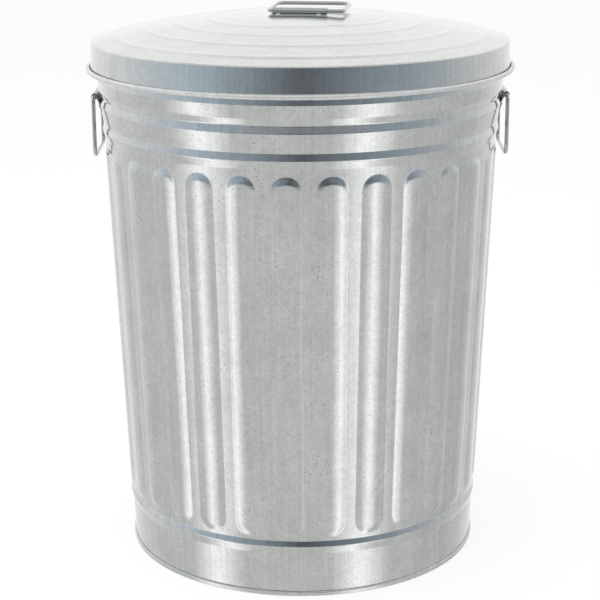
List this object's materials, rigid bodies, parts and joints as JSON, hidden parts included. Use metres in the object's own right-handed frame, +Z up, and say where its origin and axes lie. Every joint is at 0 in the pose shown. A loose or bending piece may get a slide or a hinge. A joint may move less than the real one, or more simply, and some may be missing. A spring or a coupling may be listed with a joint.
{
  "type": "trash can",
  "caption": "Round tapered galvanized steel trash can with pressed ribs, rolled rim, wire bail side handles and a domed lift-off lid with its own bail.",
  "frame": {"origin": "centre of the circle that the can stands on", "axes": "+Z up along the can's axis; -Y toward the front of the picture, with the side handles at +X and -X"},
  "size_m": [0.5399, 0.54, 0.7041],
  "materials": {
    "can_sheet": "hot-dip galvanised sheet, satin, with a fine small spangle",
    "lid_sheet": "hot-dip galvanised sheet, satin, finely brushed on the skirt",
    "bracket": "zinc-plated pressed steel",
    "rivet": "zinc-plated steel rivet, smooth",
    "wire": "zinc-plated drawn steel wire, bright"
  },
  "bodies": {
    "can": {"body_shell": "can_sheet", "rim_wire": "wire", "bottom_pan": "can_sheet", "left_handle_bracket": "bracket", "left_bracket_rivets": "rivet", "right_handle_bracket": "bracket", "right_bracket_rivets": "rivet"},
    "left_bail": {"left_bail": "wire"},
    "right_bail": {"right_bail": "wire"},
    "lid": {"lid_shell": "lid_sheet", "lid_handle_bracket": "bracket", "lid_bracket_rivets": "rivet"},
    "lid_bail": {"lid_bail": "wire"}
  },
  "joints": [
    {"name": "right_bail_swing", "type": "hinge", "parent": "can", "child": "right_bail", "pos_m": [0.25904, 0, 0.595], "axis": [0, -1, 0], "range_deg": [-5, 160]},
    {"name": "left_bail_swing", "type": "hinge", "parent": "can", "child": "left_bail", "pos_m": [-0.25904, 0, 0.595], "axis": [0, 1, 0], "range_deg": [-5, 160]},
    {"name": "lid_lift", "type": "slide", "parent": "can", "child": "lid", "axis": [0, 0, 1], "range_m": [0, 0.3]},
    {"name": "lid_bail_swing", "type": "hinge", "parent": "lid", "child": "lid_bail", "pos_m": [0, -0.022, 0.69919], "axis": [0.9877, -0.1564, 0], "range_deg": [0, 180]}
  ]
}
